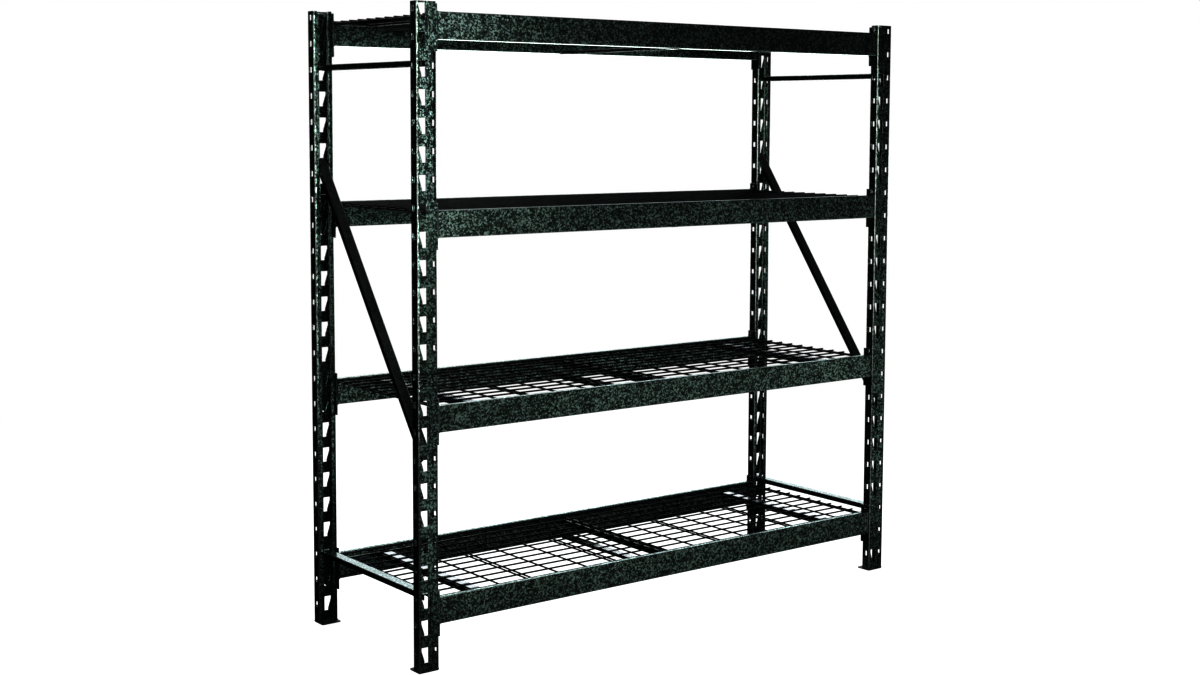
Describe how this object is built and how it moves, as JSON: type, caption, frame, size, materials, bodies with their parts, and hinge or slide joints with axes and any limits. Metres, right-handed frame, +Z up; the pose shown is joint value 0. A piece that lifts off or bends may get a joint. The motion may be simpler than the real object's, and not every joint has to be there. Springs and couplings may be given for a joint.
{
  "type": "boltless steel shelving",
  "caption": "Freestanding boltless steel shelving rack: slotted channel posts, braced end frames, hook-in stepped beams, cross supports and welded wire decks.",
  "frame": {"origin": "on the floor at the centre of the footprint", "axes": "+Z up, +X along the shelf beams, front of the unit at -Y"},
  "size_m": [1.8288, 0.6152, 1.8288],
  "materials": {
    "post": "black hammertone powder coat",
    "foot_plate": "black powder coat, satin",
    "frame_bar": "black hammertone powder coat",
    "beam": "black hammertone powder coat",
    "connector": "black hammertone powder coat",
    "support": "black powder coat, semi-gloss",
    "tie_bar": "black powder coat, semi-gloss",
    "wire_deck": "black powder coat, satin"
  },
  "bodies": {
    "end_frames": {"post_front_left": "post", "post_front_right": "post", "post_rear_left": "post", "post_rear_right": "post", "foot_plate_front_left": "foot_plate", "foot_plate_front_right": "foot_plate", "foot_plate_rear_left": "foot_plate", "foot_plate_rear_right": "foot_plate", "frame_top_bar_left": "frame_bar", "frame_top_bar_right": "frame_bar", "frame_bottom_bar_left": "frame_bar", "frame_bottom_bar_right": "frame_bar", "frame_diagonal_left": "frame_bar", "frame_diagonal_right": "frame_bar"},
    "tier_1": {"tier_1_front_beam": "beam", "tier_1_rear_beam": "beam", "tier_1_connector_front_left": "connector", "tier_1_connector_front_right": "connector", "tier_1_connector_rear_left": "connector", "tier_1_connector_rear_right": "connector", "tier_1_centre_support": "support", "tier_1_end_support_left": "support", "tier_1_end_support_right": "support", "tier_1_tie_bar": "tie_bar"},
    "deck_1": {"tier_1_wire_deck": "wire_deck"},
    "tier_2": {"tier_2_front_beam": "beam", "tier_2_rear_beam": "beam", "tier_2_connector_front_left": "connector", "tier_2_connector_front_right": "connector", "tier_2_connector_rear_left": "connector", "tier_2_connector_rear_right": "connector", "tier_2_centre_support": "support", "tier_2_end_support_left": "support", "tier_2_end_support_right": "support", "tier_2_tie_bar": "tie_bar"},
    "deck_2": {"tier_2_wire_deck": "wire_deck"},
    "tier_3": {"tier_3_front_beam": "beam", "tier_3_rear_beam": "beam", "tier_3_connector_front_left": "connector", "tier_3_connector_front_right": "connector", "tier_3_connector_rear_left": "connector", "tier_3_connector_rear_right": "connector", "tier_3_centre_support": "support", "tier_3_end_support_left": "support", "tier_3_end_support_right": "support", "tier_3_tie_bar": "tie_bar"},
    "deck_3": {"tier_3_wire_deck": "wire_deck"},
    "tier_4": {"tier_4_front_beam": "beam", "tier_4_rear_beam": "beam", "tier_4_connector_front_left": "connector", "tier_4_connector_front_right": "connector", "tier_4_connector_rear_left": "connector", "tier_4_connector_rear_right": "connector", "tier_4_centre_support": "support", "tier_4_end_support_left": "support", "tier_4_end_support_right": "support", "tier_4_tie_bar": "tie_bar"},
    "deck_4": {"tier_4_wire_deck": "wire_deck"}
  },
  "joints": [
    {"name": "tier_1_unhook", "type": "slide", "parent": "end_frames", "child": "tier_1", "axis": [0, 0, 1], "range_m": [0, 0.008]},
    {"name": "deck_1_lift_out", "type": "slide", "parent": "tier_1", "child": "deck_1", "axis": [0, 0, 1], "range_m": [0, 0.15]},
    {"name": "tier_2_unhook", "type": "slide", "parent": "end_frames", "child": "tier_2", "axis": [0, 0, 1], "range_m": [0, 0.008]},
    {"name": "deck_2_lift_out", "type": "slide", "parent": "tier_2", "child": "deck_2", "axis": [0, 0, 1], "range_m": [0, 0.15]},
    {"name": "tier_3_unhook", "type": "slide", "parent": "end_frames", "child": "tier_3", "axis": [0, 0, 1], "range_m": [0, 0.008]},
    {"name": "deck_3_lift_out", "type": "slide", "parent": "tier_3", "child": "deck_3", "axis": [0, 0, 1], "range_m": [0, 0.15]},
    {"name": "tier_4_unhook", "type": "slide", "parent": "end_frames", "child": "tier_4", "axis": [0, 0, 1], "range_m": [0, 0.008]},
    {"name": "deck_4_lift_out", "type": "slide", "parent": "tier_4", "child": "deck_4", "axis": [0, 0, 1], "range_m": [0, 0.15]}
  ]
}
